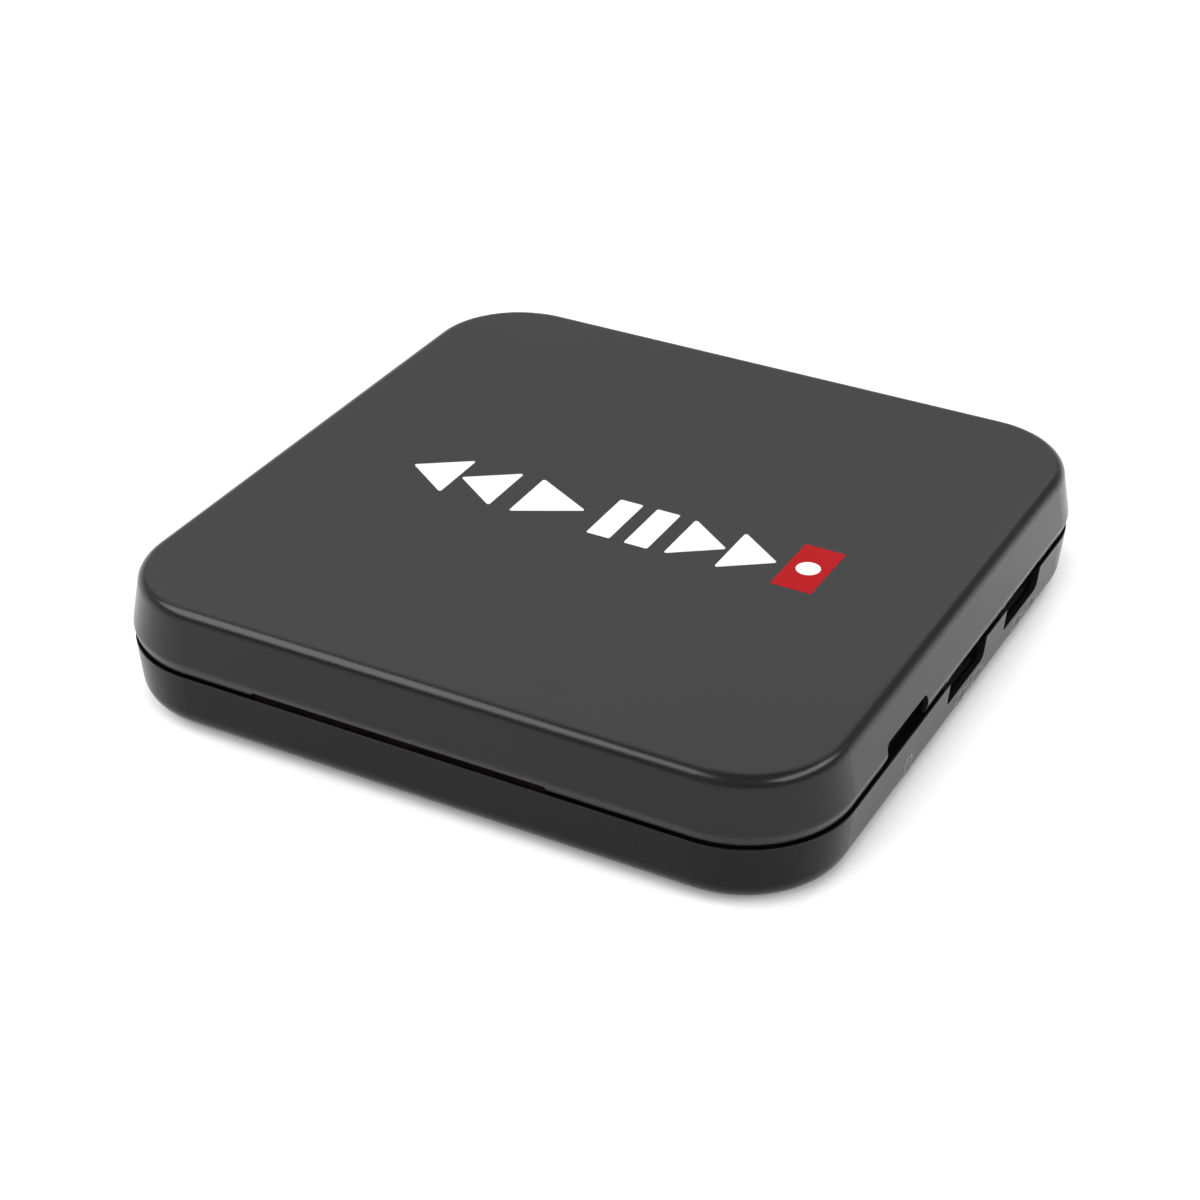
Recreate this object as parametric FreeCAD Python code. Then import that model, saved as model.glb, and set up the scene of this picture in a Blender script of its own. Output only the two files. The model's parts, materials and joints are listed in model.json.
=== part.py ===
"""Compact square set-top recorder: two-shell plastic case, board, sockets and the small parts inside.

Millimetres. +X is the side with the USB sockets, -Y the front with the infrared window, +Z up.
The origin is at the centre of the plan, on the surface that the rubber feet stand on.
"""
import FreeCAD, Part
import math
import os

from FreeCAD import Vector

# ---- casing -------------------------------------------------------------------------------
half = 52.5                  # half the width and half the depth at the widest line
corner = 15.2                # plan radius of the corners at the widest line
core = half - corner         # half side of the square that the corner arcs are centred on
foot_stand = 0.8             # height of the underside above the table

underside = foot_stand
lower_rim = foot_stand + 8.75
upper_rim = foot_stand + 9.15
top_face = foot_stand + 18.35

base_inset = 3.8             # the base is this much smaller than the widest line, on each side
base_round = 3.1
base_lead = 2.85             # from the edge of the flat base out to where the wall's line meets it
lower_rim_inset = 0.14
upper_rim_inset = 0.50
widest = foot_stand + 10.8   # the case's widest line; the upper wall leans in above it
widest_round = 1.6
top_inset = 1.35
top_round = 1.7

floor_top = underside + 1.6
ceiling = top_face - 1.65
lower_wall_inset = 3.3       # inner face of the lower shell's wall
upper_wall_inset = 2.2       # inner face of the upper shell's wall
lip_inset = 0.8              # inner face of the lower shell's outer lip, at its foot
lip_land = 0.2               # flat top of that lip; its inner side slopes away from the groove
tongue_inset = 2.45          # outer face of the tongue that stands up inside the upper shell
channel_floor = lower_rim - 1.15
tongue_top = lower_rim + 2.2

# ---- circuit board ------------------------------------------------------------------------
board_half = 48.4
board_low = foot_stand + 8.6
board_thick = 1.6
board_top = board_low + board_thick
board_corner_cut = 12.4

# ---- sockets ------------------------------------------------------------------------------
mouth = half - 1.9           # plane of the socket mouths, behind the outer skin of the wall
skin_inset = 1.2             # inner face of the thin skin left in front of a socket
usb_y = (1.4, 22.4)
usb_width, usb_height, usb_depth = 13.1, 5.7, 14.0
usb_middle = foot_stand + 7.55
usb_skin_low = foot_stand + 5.1
usb_skin_high = upper_rim + 0.75
usb_skin_width = 13.3
sheet = 0.3                  # thickness of the sockets' steel

card_y = -20.45
card_notch_width = 13.4
card_notch_top = foot_stand + 12.4
card_width, card_depth, card_height = 14.0, 14.8, 1.85
card_front = 48.2            # x of the card socket's mouth
card_low = board_top
bay_half = 5.6               # half the width of the room for the card
ejector_travel = 1.2

window_x = (-26.4, 17.4)     # the front window, along the groove
window_notch_top = upper_rim + 0.7

power_x, lan_x, hdmi_x, optical_x, av_x = 31.0, 13.8, -6.2, -20.8, -32.0
power_axis = foot_stand + 9.0
lan_middle = foot_stand + 8.6
hdmi_low = board_top + 0.1
optical_middle = foot_stand + 9.4
av_axis = board_top + 2.7
power_bore, power_pin = 3.2, 1.0
av_bore = 1.8
lan_width, lan_height, lan_depth = 15.9, 11.6, 15.6
hdmi_width, hdmi_height, hdmi_depth = 15.0, 5.7, 11.6
optical_width, optical_height, optical_depth = 9.8, 9.6, 12.6
av_width, av_height, av_depth = 6.4, 5.2, 12.0
power_width, power_height, power_depth = 9.0, 9.8, 13.6
shutter_axis = (-1.15, 3.4)      # y and z of the optical shutter's pin, from the centre of the mouth
shutter_half = 3.85

# ---- fixings ------------------------------------------------------------------------------
screw_place = 40.5           # case screws stand at (+-, +-) this
screw_seat = underside + 4.2
screw_head, screw_shank = 2.1, 0.95
driver_well, screw_hole = 2.5, 1.3
board_posts = ((-43.0, -28.0), (-43.0, 28.0), (43.0, -32.6), (43.0, 33.6))
foot_places = ((-30.0, -41.0), (30.0, -41.0), (-30.0, 41.0), (30.0, 41.0))
foot_radius = 4.5
foot_sink = 0.5              # the feet are let into the underside this far
hold_places = ((-40.0, -2.0), (-40.0, 21.0), (18.0, -43.5))    # posts in the lid that steady the board
floor_rib_y, lid_rib_y = (-33.0, 33.0), (-30.0, 27.0)
rib_half = 0.5               # half the thickness of a stiffening rib
label_half_width, label_y = 17.0, (-36.5, -21.5)
label_sink, label_film, label_gap = 0.3, 0.14, 0.15
switch_x, switch_y = -32.0, 16.0
switch_size, switch_height = 6.0, 3.3
plunger_radius = 1.75
gap = 0.3                    # clearance round pieces that go through a wall

# ---- what stands on the board -------------------------------------------------------------
processor_x, processor_y = -2.0, -2.0
chip_top = board_top + 1.3
pad_thick = 0.5
sink_size, sink_fins, fin_thick = 30.0, 9, 1.1
wireless_x, wireless_y = -30.0, -33.0
plug_x, plug_y = wireless_x - 4.0, wireless_y + 4.9    # snap-on plug on the wireless module
lead_radius = 0.55
aerial_y = (-34.0, 2.0)
receiver_x, lamp_x = -14.0, 6.0


# ---- shape helpers ------------------------------------------------------------------------
def block(x0, x1, y0, y1, z0, z1):
    return Part.makeBox(x1 - x0, y1 - y0, z1 - z0, Vector(x0, y0, z0))


def centred(x, y, z0, width, depth, height):
    return block(x - width / 2, x + width / 2, y - depth / 2, y + depth / 2, z0, z0 + height)


def rod(radius, x, y, z0, z1):
    return Part.makeCylinder(radius, z1 - z0, Vector(x, y, z0))


def rod_along(radius, start, end):
    start, end = Vector(*start), Vector(*end)
    return Part.makeCylinder(radius, (end - start).Length, start, end - start)


def join(shapes):
    shapes = list(shapes)
    whole = shapes[0].fuse(shapes[1:]) if len(shapes) > 1 else shapes[0]
    return whole.removeSplitter()


def outline(points):
    """Closed wire through 3-D points. A fourth number rounds that corner to the radius given."""
    places = [Vector(*p[:3]) for p in points]
    radii = [p[3] if len(p) > 3 else 0.0 for p in points]
    starts, ends, rounds = [], [], []
    for i, here in enumerate(places):
        back = (places[i - 1] - here).normalize()
        on = (places[(i + 1) % len(places)] - here).normalize()
        half_angle = back.getAngle(on) / 2
        if radii[i] == 0:
            starts.append(here)
            ends.append(here)
            rounds.append(None)
            continue
        reach = radii[i] / math.tan(half_angle)
        middle = (back + on).normalize()
        to_arc = radii[i] / math.sin(half_angle) - radii[i]
        starts.append(here + back * reach)
        ends.append(here + on * reach)
        rounds.append(here + middle * to_arc)
    edges = []
    for i in range(len(places)):
        if rounds[i] is not None:
            edges.append(Part.Arc(starts[i], rounds[i], ends[i]).toShape())
        after = starts[(i + 1) % len(places)]
        if (after - ends[i]).Length > 1e-6:
            edges.append(Part.LineSegment(ends[i], after).toShape())
    return Part.Wire(edges)


def prism(points, along):
    return Part.Face(outline(points)).extrude(Vector(*along))


def turned_square(section):
    """Solid of the casing's plan with the given wall section, a list of (outward, z[, radius]) measured
    from the side of the core square. Sides are extruded and corners are turned through a quarter."""
    face = Part.Face(outline([(core + p[0], -core, p[1], *p[2:]) for p in section]))
    side = face.extrude(Vector(0, 2 * core, 0))
    turn = face.copy()
    turn.translate(Vector(0, 2 * core, 0))
    quarter = turn.revolve(Vector(core, core, 0), Vector(0, 0, 1), 90)
    pieces = []
    for n in range(4):
        for shape in (side, quarter):
            copy = shape.copy()
            copy.rotate(Vector(0, 0, 0), Vector(0, 0, 1), 90 * n)
            pieces.append(copy)
    return pieces


def facing_right(shape, y, z=0.0, x=mouth):
    """Places a socket drawn with its mouth at the origin, looking along +Y, in the right side."""
    copy = shape.copy()
    copy.rotate(Vector(0, 0, 0), Vector(0, 0, 1), -90)
    copy.translate(Vector(x, y, z))
    return copy


def facing_back(shape, x, z=0.0, y=mouth):
    copy = shape.copy()
    copy.translate(Vector(x, y, z))
    return copy


def rounded_window(width, low, high, radius, top_radius=0.0, depth=12.0):
    """Cutter for an opening, looking along +Y, that runs from well inside to outside the wall."""
    w = width / 2
    points = [(-w, -depth, low, radius), (w, -depth, low, radius), (w, -depth, high, top_radius),
              (-w, -depth, high, top_radius)]
    return prism(points, (0, 2 * depth, 0))


def keep(name, shapes):
    """Writes a node. Several separate solids go into one file as a group."""
    shapes = shapes if isinstance(shapes, list) else [shapes]
    solids = [solid for shape in shapes for solid in shape.Solids]
    whole = solids[0] if len(solids) == 1 else Part.makeCompound(solids)
    whole.exportStep(os.path.join("parts", name + ".step"))


# ---- openings shared by both shells -------------------------------------------------------
def socket_pocket(width, low, high):
    """Room behind the outer skin for a socket's body, looking along +Y, mouth at y = 0."""
    reach = mouth - (half - skin_inset)
    return block(-width / 2 - gap, width / 2 + gap, -8.0, -reach, low - gap, high + gap)


def right_cuts():
    cuts = []
    for y in usb_y:
        low, high = usb_middle - usb_height / 2, usb_middle + usb_height / 2
        cuts.append(facing_right(socket_pocket(usb_width, low, high), y))
        skin = rounded_window(usb_skin_width, usb_skin_low, usb_skin_high, 0.9, 0.25, depth=6.0)
        cuts.append(facing_right(skin, y))
    slot = rounded_window(card_notch_width, upper_rim - 1.0, card_notch_top, 0.0, 1.0, depth=6.0)
    upper_only = block(half - 8, half + 2, card_y - 9, card_y + 9, lower_rim, card_notch_top + 1)
    cuts.append(facing_right(slot, card_y).common(upper_only))
    mouth_height = board_top + card_height + gap
    cuts.append(block(half - 6, half - lip_inset, card_y - 7.4, card_y + 7.4, lower_rim, mouth_height))
    return cuts


def back_cuts():
    """Socket openings in the back wall: a pocket from inside and a neat window in the skin."""
    cuts = []
    boxes = ((lan_x, lan_width, lan_height, lan_middle),
             (optical_x, optical_width, optical_height, optical_middle),
             (hdmi_x, hdmi_width, hdmi_height, hdmi_low + hdmi_height / 2))
    for x, width, height, middle in boxes:
        low, high = middle - height / 2, middle + height / 2
        cuts.append(facing_back(socket_pocket(width, low, high), x))
        cuts.append(facing_back(rounded_window(width - 0.4, low + 0.2, high - 0.2, 0.5, 0.5), x))
    round_mouths = ((power_x, power_axis, power_width, power_height, power_bore + 0.8),
                    (av_x, av_axis, av_width, av_height, av_bore + 1.3))
    for x, axis, width, height, bore in round_mouths:
        cuts.append(facing_back(socket_pocket(width, axis - height / 2, axis + height / 2), x))
        cuts.append(rod_along(bore, (x, half - 6, axis), (x, half + 6, axis)))
    return cuts


# ---- casing -------------------------------------------------------------------------------
def lower_shell():
    section = [(0, underside), (corner - base_inset + base_lead, underside, base_round),
               (corner - lower_rim_inset, lower_rim, 0.1), (corner - lower_rim_inset - lip_land, lower_rim),
               (corner - lip_inset, channel_floor), (corner - tongue_inset, channel_floor),
               (corner - tongue_inset, tongue_top, 0.3), (corner - lower_wall_inset, tongue_top),
               (corner - lower_wall_inset, floor_top, 1.0), (0, floor_top)]
    shell = join(turned_square(section) + [block(-core, core, -core, core, underside, floor_top)])
    added = [rod(3.4, sx * screw_place, sy * screw_place, underside + 0.5, screw_seat + 1.4)
             for sx in (-1, 1) for sy in (-1, 1)]
    added += [rod(2.5, x, y, underside + 0.5, board_low) for x, y in board_posts]
    # low ribs that stiffen the floor between the posts
    added += [block(-36.0, 36.0, y - rib_half, y + rib_half, underside + 0.5, floor_top + 1.4)
              for y in floor_rib_y]
    # guide tube that leads a pin from the hole in the base up to the recovery switch
    added.append(rod(2.2, switch_x, switch_y, underside + 0.5, underside + 2.8))
    shell = join([shell] + added)
    cuts = right_cuts() + back_cuts()
    for sx in (-1, 1):
        for sy in (-1, 1):
            cuts.append(rod(driver_well, sx * screw_place, sy * screw_place, underside - 1, screw_seat))
            cuts.append(rod(screw_hole, sx * screw_place, sy * screw_place, underside, screw_seat + 2))
    cuts += [rod(1.0, x, y, floor_top + 1.0, board_low + 1) for x, y in board_posts]
    cuts += [rod(foot_radius + 0.2, x, y, underside - 1, underside + foot_sink)
             for x, y in foot_places]
    cuts.append(rod(0.8, switch_x, switch_y, underside - 1, underside + 4))
    cuts += ventilation()
    cuts.append(label_area(0.0, underside - 1, label_sink + 1))
    # the tongue is open behind the front window, so that the receiver and the lamp see out
    cuts.append(block(window_x[0] + 2, window_x[1] - 2, -half + lip_inset, -half + 4.0, board_top - 0.6,
                      tongue_top + 1))
    return shell.cut(cuts)


def ventilation():
    """Two fields of slots in the base, under the processor."""
    slots = []
    length, width, pitch, count = 15.0, 1.5, 3.6, 8
    radius, below = width / 2 - 0.01, underside - 1
    for side in (-1, 1):
        x0, x1 = side * 11.0 - length / 2, side * 11.0 + length / 2
        for n in range(count):
            y = (n - (count - 1) / 2) * pitch
            y0, y1 = y - width / 2, y + width / 2
            slots.append(prism([(x0, y0, below, radius), (x1, y0, below, radius),
                                (x1, y1, below, radius), (x0, y1, below, radius)], (0, 0, 4)))
    return slots


def label_area(shrink, low, height):
    """Rounded plate on the rating label's plan, smaller on every side by shrink."""
    x0, x1 = -label_half_width + shrink, label_half_width - shrink
    y0, y1 = label_y[0] + shrink, label_y[1] - shrink
    return prism([(x0, y0, low, 1.2), (x1, y0, low, 1.2), (x1, y1, low, 1.2), (x0, y1, low, 1.2)],
                 (0, 0, height))


def rating_label():
    return label_area(label_gap, underside + label_sink - label_film, label_film)


def upper_shell():
    section = [(0, top_face), (corner - top_inset, top_face, top_round), (corner, widest, widest_round),
               (corner - upper_rim_inset, upper_rim, 0.25),
               (corner - upper_wall_inset, upper_rim), (corner - upper_wall_inset, ceiling, 1.0),
               (0, ceiling)]
    section = section[::-1]
    shell = join(turned_square(section) + [block(-core, core, -core, core, ceiling, top_face)])
    boss_low = screw_seat + 1.6
    bosses = [rod(2.6, sx * screw_place, sy * screw_place, boss_low, ceiling + 0.5)
              for sx in (-1, 1) for sy in (-1, 1)]
    holds = [rod(1.6, x, y, board_top, ceiling + 0.5) for x, y in hold_places]
    ribs = [block(-34.0, 34.0, y - rib_half, y + rib_half, ceiling - 1.0, ceiling + 0.5)
            for y in lid_rib_y]
    shell = join([shell] + bosses + holds + ribs)
    cuts = right_cuts() + back_cuts()
    cuts += [rod(1.0, sx * screw_place, sy * screw_place, boss_low - 1, ceiling - 0.6)
             for sx in (-1, 1) for sy in (-1, 1)]
    x0, x1, front = *window_x, -half - 2
    cuts.append(prism([(x0, front, upper_rim - 1), (x1, front, upper_rim - 1),
                       (x1, front, window_notch_top, 0.4), (x0, front, window_notch_top, 0.4)], (0, 6, 0)))
    return shell.cut(cuts)


def ir_window():
    """Smoked strip that stands in the front groove and closes the notch above it."""
    x0, x1 = window_x[0] + 0.1, window_x[1] - 0.1
    y0, y1 = -half + lip_inset + 0.15, -half + tongue_inset - 0.1
    top = window_notch_top - 0.1
    low = channel_floor
    return prism([(x0, y0, low), (x1, y0, low), (x1, y0, top, 0.3), (x0, y0, top, 0.3)], (0, y1 - y0, 0))


def rubber_feet():
    feet = []
    for x, y in foot_places:
        foot = rod(foot_radius, x, y, 0.0, underside + foot_sink)
        feet.append(foot.makeChamfer(0.25, [e for e in foot.Edges if e.BoundBox.ZMax < 0.01]))
    return feet


def case_screws():
    screws = []
    for sx in (-1, 1):
        for sy in (-1, 1):
            x, y = sx * screw_place, sy * screw_place
            head = rod(screw_head, x, y, screw_seat - 1.6, screw_seat)
            shank = rod(screw_shank, x, y, screw_seat - 0.2, ceiling - 1.4)
            screws.append(join([head, shank]).cut(cross_recess(x, y, screw_seat - 1.6, 2.4, 0.9)))
    return screws


def cross_recess(x, y, z, width, depth):
    """Cutter for the driver cross in a screw head whose face is at z and looks down."""
    slot = 0.5
    return join([centred(x, y, z - 0.5, width, slot, depth + 0.5),
                 centred(x, y, z - 0.5, slot, width, depth + 0.5)])


def board_screws():
    screws = []
    for x, y in board_posts:
        head = rod(1.9, x, y, board_top, board_top + 1.2)
        shank = rod(screw_shank, x, y, floor_top + 2.0, board_top + 0.2)
        cross = cross_recess(x, y, 0, 2.2, 0.7)
        cross.rotate(Vector(x, y, 0), Vector(1, 0, 0), 180)
        cross.translate(Vector(0, 0, board_top + 1.2))
        screws.append(join([head, shank]).cut(cross))
    return screws


# ---- board and what is soldered to it -----------------------------------------------------
def main_board():
    board = block(-board_half, board_half, -board_half, board_half, board_low, board_top)
    inner = board_half - board_corner_cut
    cuts = []
    for sx in (-1, 1):
        for sy in (-1, 1):
            x0, x1 = sorted((sx * inner, sx * (board_half + 1)))
            y0, y1 = sorted((sy * inner, sy * (board_half + 1)))
            cuts.append(block(x0, x1, y0, y1, board_low - 1, board_top + 1))
    low, high = board_low - 1, board_top + 1
    for y in usb_y:
        cuts.append(block(mouth - usb_depth - 0.2, board_half + 1, y - usb_width / 2 - 0.15,
                          y + usb_width / 2 + 0.15, low, high))
    for x, width, depth in ((lan_x, lan_width, lan_depth), (optical_x, optical_width, optical_depth),
                            (power_x, power_width, power_depth)):
        cuts.append(block(x - width / 2 - 0.15, x + width / 2 + 0.15, mouth - depth - 0.2, board_half + 1,
                          low, high))
    cuts += [rod(1.2, x, y, low, high) for x, y in board_posts]
    return board.cut(cuts)


def usb_shield():
    w, h, d = usb_width, usb_height, usb_depth
    tube = block(-w / 2, w / 2, -d, 0, -h / 2, h / 2)
    hollow = block(-w / 2 + sheet, w / 2 - sheet, -d + sheet, 1, -h / 2 + sheet, h / 2 - sheet)
    shell = tube.cut(hollow)
    # spring fingers pressed in from the top and the bottom sheet: each is freed by a U-shaped slit
    slits = []
    for x in (-3.3, 3.3):
        for z in (-h / 2, h / 2):
            ring = centred(x, -5.0, z - 0.5, 2.4, 5.0, 1.0).cut(centred(x, -5.4, z - 1, 1.8, 5.2, 2.0))
            slits.append(ring)
    ear_z = board_top - usb_middle
    # ears that lie on the board beside the cut-out that the socket sinks into
    ears = [block(x - 0.85, x + 0.85, -11.0, -5.0, ear_z + 0.02, ear_z + 0.02 + sheet)
            for x in (-w / 2 - 0.75, w / 2 + 0.75)]
    return join([shell.cut(slits)] + ears)


def usb_tongue():
    h, d = usb_height / 2 - sheet - 0.05, usb_depth - sheet - 0.05
    w = usb_width / 2 - sheet - 0.05
    back = block(-w, w, -d, -d + 3.4, -h, h)
    side, low, high, root = 5.55, 0.35, 2.15, -d + 3.0
    tongue = prism([(-side, root, low, 0.15), (side, root, low, 0.15), (side, root, high, 0.3),
                    (-side, root, high, 0.3)], (0, 8.8, 0))
    lead_in = prism([(-6, -1.9, low - 0.02), (-6, -2.6, low - 0.02), (-6, -1.9, 0.8)], (12, 0, 0))
    return join([back, tongue]).cut(lead_in)


def usb_contacts():
    return [block(x - 0.5, x + 0.5, -10.2, -3.0, 0.16, 0.34) for x in (-3.5, -1.0, 1.0, 3.5)]


def hdmi_outline(grow, y):
    """Section of the HDMI mouth: a wide top and a narrower floor with slanted shoulders."""
    w, h = hdmi_width / 2 + grow, hdmi_height + grow
    return [(-w, y, 2.2 - grow * 0.4), (-w + 2.0, y, 1.0 - grow), (-w + 2.6, y, -grow), (w - 2.6, y, -grow),
            (w - 2.0, y, 1.0 - grow), (w, y, 2.2 - grow * 0.4), (w, y, h, 0.3), (-w, y, h, 0.3)]


def hdmi_shield():
    outer = prism(hdmi_outline(0.0, 0), (0, -hdmi_depth, 0))
    hollow = prism(hdmi_outline(-sheet, 1), (0, -hdmi_depth - 1 + sheet, 0))
    shell = outer.cut(hollow)
    # each spring finger in the top sheet is freed by a U-shaped slit
    slits = [centred(x, -4.6, hdmi_height - 0.6, 2.2, 4.4, 1.2).cut(
        centred(x, -5.0, hdmi_height - 1, 1.6, 4.6, 2.0)) for x in (-4.0, 4.0)]
    return shell.cut(slits)


def hdmi_tongue():
    w = hdmi_width / 2 - sheet - 0.5
    d = hdmi_depth - sheet - 0.05
    back = block(-w + 2.2, w - 2.2, -d, -d + 3.0, 0.45, hdmi_height - sheet - 0.1)
    tongue = block(-5.6, 5.6, -d + 2.5, -2.2, 2.7, 3.5)
    return join([back, tongue])


def hdmi_contacts():
    upper = [block(n - 4.65, n - 4.35, -8.0, -2.9, 3.52, 3.62) for n in range(10)]
    lower = [block(n - 4.15, n - 3.85, -8.0, -2.9, 2.58, 2.68) for n in range(9)]
    return upper + lower


def lan_housing():
    w, h, d = lan_width / 2 - 0.35, lan_height / 2 - 0.35, lan_depth - 0.4
    body = block(-w, w, -d, 0, -h, h)
    cavity = block(-5.9, 5.9, -12.5, 1, -3.9, 3.0)
    latch_room = block(-3.2, 3.2, -8.0, 1, 2.9, 4.4)
    lamp_rooms = [block(x - 1.6, x + 1.6, -3.0, 1, -5.3, -4.05) for x in (-5.4, 5.4)]
    slots = [block(x - 0.26, x + 0.26, -11.0, -1.2, -4.6, -3.85) for x in lan_contact_places()]
    return body.cut([cavity, latch_room] + lamp_rooms + slots)


def lan_contact_places():
    return [(n - 3.5) * 1.02 for n in range(8)]


def lan_shield():
    w, h, d = lan_width / 2, lan_height / 2, lan_depth
    outer = block(-w, w, -d, 0.0, -h, h)
    hollow = block(-w + sheet, w - sheet, -d + sheet, 1, -h + sheet, h - sheet)
    return outer.cut(hollow)


def lan_contacts():
    """Gold spring wires: each rises from its slot at the mouth towards the back of the cavity."""
    wires = []
    for x in lan_contact_places():
        points = [(x - 0.18, -1.6, -4.45), (x - 0.18, -10.6, -1.75), (x - 0.18, -10.6, -1.4),
                  (x - 0.18, -1.6, -4.15)]
        wires.append(prism(points, (0.36, 0, 0)))
    return wires


def lan_lamps():
    return [block(x - 1.5, x + 1.5, -2.9, -0.05, -5.25, -4.1) for x in (-5.4, 5.4)]


def optical_housing():
    w, h, d = optical_width / 2 - 0.1, optical_height / 2 - 0.1, optical_depth
    body = block(-w, w, -d, 0, -h, h)
    side, back = 4.15, -9.0
    cavity = prism([(-side, back, -4.1, 1.0), (side, back, -4.1, 1.0), (side, back, 4.1), (-side, back, 4.1)],
                   (0, 10, 0))
    pin_hole = rod_along(0.42, (-w - 1, *shutter_axis), (w + 1, *shutter_axis))
    lens_hole = rod_along(1.6, (0, -9.5, 0), (0, -8, 0))
    return body.cut([cavity, pin_hole, lens_hole])


def optical_shutter():
    (y, z), w, thick, low = shutter_axis, shutter_half, 0.7, -3.8
    knuckle = rod_along(0.62, (-w, y, z), (w, y, z))
    inner = y - thick / 2
    plate = prism([(-w, inner, low, 0.9), (w, inner, low, 0.9), (w, inner, z), (-w, inner, z)], (0, thick, 0))
    grip = block(-2.2, 2.2, y + 0.3, y + 0.5, -0.5, 0.5)
    hole = rod_along(0.45, (-5, y, z), (5, y, z))
    # room in the middle of the knuckle for the closing spring
    spring_room = rod_along(1.3, (-1.0, y, z), (1.0, y, z))
    return join([knuckle, plate, grip]).cut([hole, spring_room])


def optical_pin():
    y, z = shutter_axis
    w = optical_width / 2 - 0.1
    return rod_along(0.4, (-w, y, z), (w, y, z))


def optical_spring():
    """Closing spring of the shutter: close turns of wire round the pin, as separate rings."""
    y, z = shutter_axis
    wire, pitch, count = 0.08, 0.2, 9
    first = -pitch * (count - 1) / 2
    return [Part.makeTorus(0.4 + 0.05 + wire, wire, Vector(first + n * pitch, y, z), Vector(1, 0, 0))
            for n in range(count)]


def optical_emitter():
    dome = Part.makeSphere(1.3, Vector(0, -9.5, 0))
    body = rod_along(1.5, (0, -9.5, 0), (0, -9.02, 0))
    return body.fuse(dome.common(block(-2, 2, -9.4, -8.4, -2, 2))).removeSplitter()


def av_housing():
    w, h, d = av_width / 2, av_height / 2, av_depth
    body = block(-w, w, -d, -0.3, -h, h)
    bore = rod_along(2.0, (0, -d + 1.0, 0), (0, 1, 0))
    seat = rod_along(2.9, (0, -1.2, 0), (0, 1, 0))
    side_slots = [block(x - 0.5, x + 0.5, -9.6, -4.4, -0.9, 0.9) for x in (-w + 0.5, w - 0.5)]
    return body.cut([bore, seat] + side_slots)


def av_bushing():
    """Metal collar at the mouth of the 3.5 mm jack; its bore takes the plug."""
    outer = rod_along(2.85, (0, -1.15, 0), (0, 0.9, 0))
    return outer.cut(rod_along(av_bore, (0, -2, 0), (0, 2, 0)))


def av_contacts():
    sides = [block(x - 0.1, x + 0.1, -9.5, -4.5, -0.8, 0.8) for x in (-3.1, 3.1)]
    tip = block(-0.8, 0.8, -10.7, -10.5, -0.8, 0.8)
    return sides + [tip]


def power_housing():
    w, h, d = power_width / 2, power_height / 2, power_depth
    body = block(-w, w, -d, 0, -h, h)
    bore = rod_along(power_bore, (0, -10.5, 0), (0, 1, 0))
    socket_for_pin = rod_along(power_pin + 0.6, (0, -d + 1.0, 0), (0, -10, 0))
    spring_room = block(-1.2, 1.2, -9.5, -1.8, -h + 0.7, -power_bore + 0.4)
    return body.cut([bore, socket_for_pin, spring_room])


def power_pin_piece():
    pin = rod_along(power_pin, (0, -11.5, 0), (0, -0.9, 0))
    tip = pin.makeFillet(0.45, [e for e in pin.Edges if e.BoundBox.YMin > -1.0])
    flange = rod_along(power_pin + 0.55, (0, -12.5, 0), (0, -10.6, 0))
    return join([tip, flange])


def power_spring():
    """Leaf that presses on the outside of the plug."""
    leaf = [(-9.2, -4.0), (-2.2, -3.5), (-2.2, -3.3), (-5.5, -3.05), (-9.2, -3.75)]
    return prism([(-1.0, y, z) for y, z in leaf], (2.0, 0, 0))


# ---- memory-card socket -------------------------------------------------------------------
def card_frame():
    x0, x1 = card_front - card_depth, card_front
    y0, y1 = card_y - card_width / 2 + 0.25, card_y + card_width / 2 - 0.25
    top = card_low + card_height - 0.25
    base = block(x0, x1, y0, y1, card_low, top)
    bay = block(x0 + 4.2, x1 + 1, card_y - bay_half, card_y + bay_half, card_low + 0.5, top + 1)
    side_track = block(x0 + 0.6, x1 - 3.0, y0 + 0.5, card_y - bay_half + 0.01, card_low + 0.5, top + 1)
    back_track = block(x0 + 0.6, x0 + 4.3, y0 + 0.5, card_y - 2.0, card_low + 0.5, top + 1)
    contact_slots = [block(x0 + 2.0, x0 + 12.0, y - 0.5, y + 0.5, card_low + 0.3, card_low + 0.6)
                     for y in card_contact_places()]
    return base.cut([bay, side_track, back_track] + contact_slots)


def card_contact_places():
    return [card_y - 0.6 + (n - 3.5) * 1.1 + 1.6 for n in range(8)]


def card_cover():
    x0, x1 = card_front - card_depth, card_front - 0.4
    y0, y1 = card_y - card_width / 2, card_y + card_width / 2
    z1 = card_low + card_height
    plate = block(x0 - 0.2, x1, y0, y1, z1 - 0.2, z1)
    flaps = [block(x0 - 0.2, x1, y0, y0 + 0.2, card_low + 0.02, z1 - 0.1),
             block(x0 - 0.2, x1, y1 - 0.2, y1, card_low + 0.02, z1 - 0.1)]
    # openings that bare the detent and the end of the contact springs
    windows = [block(x0 + 6.0, x0 + 7.2, card_y - 2.5, card_y + 2.5, z1 - 1, z1 + 1),
               block(x0 + 9.5, x0 + 12.5, card_y + 3.2, card_y + 4.4, z1 - 1, z1 + 1)]
    return join([plate] + flaps).cut(windows)


def card_contacts():
    x0 = card_front - card_depth
    springs = []
    for y in card_contact_places():
        flat = block(x0 + 2.2, x0 + 5.0, y - 0.3, y + 0.3, card_low + 0.32, card_low + 0.44)
        bow = [(4.8, 0.32), (9.0, 0.62), (11.0, 0.5), (11.0, 0.62), (9.0, 0.76), (4.8, 0.44)]
        lift = prism([(x0 + x, y - 0.3, card_low + z) for x, z in bow], (0, 0.6, 0))
        springs.append(join([flat, lift]))
    return springs


def ejector_track():
    """X of the inner end and Y of the outer side of the track that the ejector slides in."""
    return card_front - card_depth + 0.6, card_y - card_width / 2 + 0.75


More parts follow.
